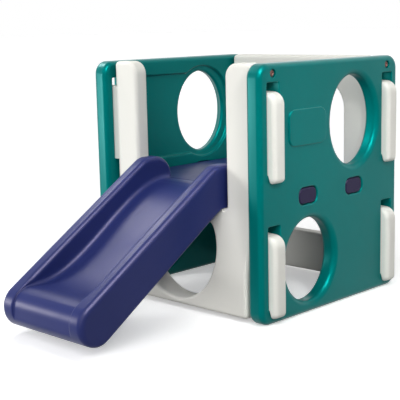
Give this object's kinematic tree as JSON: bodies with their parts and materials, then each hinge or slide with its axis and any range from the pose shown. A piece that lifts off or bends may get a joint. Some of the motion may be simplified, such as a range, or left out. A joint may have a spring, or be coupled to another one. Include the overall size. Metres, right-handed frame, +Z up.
{
  "type": "toddler climbing gym",
  "caption": "Cube-shaped toddler climbing gym of hollow moulded panels with round crawl holes, hooked corner tabs, a raised deck and a lift-off slide",
  "frame": {"origin": "on the floor, under the middle of the box that holds the gym and its slide", "axes": "+X to the right-hand side panel seen from the slide, +Y from the slide's foot to the back panel, +Z up"},
  "size_m": [0.698, 1.117, 0.698],
  "materials": {
    "teal_plastic": "satin moulded polyethylene",
    "ivory_plastic": "satin moulded polyethylene",
    "deck_plastic": "satin moulded polyethylene",
    "slide_plastic": "satin moulded polyethylene",
    "screw_steel": "zinc plated",
    "washer_steel": "zinc plated",
    "insert_brass": "turned"
  },
  "bodies": {
    "gym": {"right_side_panel": "teal_plastic", "left_side_panel": "teal_plastic", "front_panel": "ivory_plastic", "back_panel": "ivory_plastic", "platform": "deck_plastic", "screw_front_right": "screw_steel", "screw_front_left": "screw_steel", "screw_back_right": "screw_steel", "screw_back_left": "screw_steel", "washer_front_right": "washer_steel", "washer_front_left": "washer_steel", "washer_back_right": "washer_steel", "washer_back_left": "washer_steel", "insert_front_right": "insert_brass", "insert_front_left": "insert_brass", "insert_back_right": "insert_brass", "insert_back_left": "insert_brass"},
    "slide_body": {"slide": "slide_plastic"}
  },
  "joints": [
    {"name": "slide_lift", "type": "slide", "parent": "gym", "child": "slide_body", "axis": [0, 0, 1], "range_m": [0, 0.1]}
  ]
}
